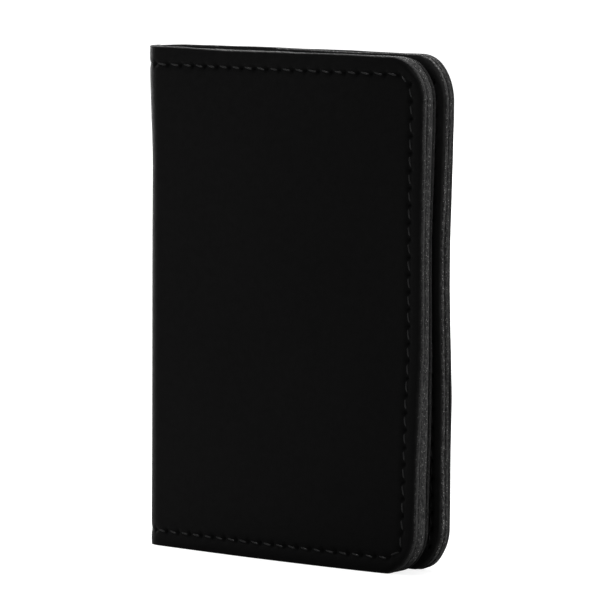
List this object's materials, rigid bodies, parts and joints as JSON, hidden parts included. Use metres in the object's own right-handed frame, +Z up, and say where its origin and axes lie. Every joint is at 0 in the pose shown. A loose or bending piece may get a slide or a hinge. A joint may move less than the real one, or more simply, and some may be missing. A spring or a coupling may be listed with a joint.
{
  "type": "bifold wallet",
  "caption": "Upright bifold card wallet in smooth black leather with raw dyed edges, saddle stitching and side-entry card pockets.",
  "frame": {"origin": "centre of the closed wallet's footprint, on the plane it stands on", "axes": "+Z up along the fold; +X from the fold to the free edges; -Y is the way the front cover faces, +Y the way the back cover faces"},
  "size_m": [0.075, 0.0104, 0.102],
  "materials": {
    "outer_leather": "smooth matte-satin black leather",
    "lining_leather": "matte black leather, raw dyed edges",
    "slip_leather": "thin skived matte black leather",
    "pocket_leather": "smooth matte black leather",
    "waxed_thread": "waxed black thread"
  },
  "bodies": {
    "back_cover": {"back_cover_shell": "outer_leather", "back_cover_lining": "lining_leather", "back_card_slip": "slip_leather", "back_pocket_panel": "pocket_leather", "back_cover_thread": "waxed_thread", "back_slip_thread": "waxed_thread"},
    "spine": {"spine_shell": "outer_leather", "spine_lining": "lining_leather", "spine_thread": "waxed_thread"},
    "front_cover": {"front_cover_shell": "outer_leather", "front_cover_lining": "lining_leather", "front_card_slip": "slip_leather", "front_pocket_panel": "pocket_leather", "front_cover_thread": "waxed_thread", "front_slip_thread": "waxed_thread"}
  },
  "joints": [
    {"name": "back_fold", "type": "hinge", "parent": "back_cover", "child": "spine", "pos_m": [-0.03667, 0.00437, 0.051], "axis": [0, 0, -1], "range_deg": [0, 90]},
    {"name": "front_fold", "type": "hinge", "parent": "spine", "child": "front_cover", "pos_m": [-0.03667, -0.00437, 0.051], "axis": [0, 0, -1], "range_deg": [0, 90]}
  ],
  "couplings": [
    {"joint": "front_fold", "follows": "back_fold", "ratio": 1}
  ]
}
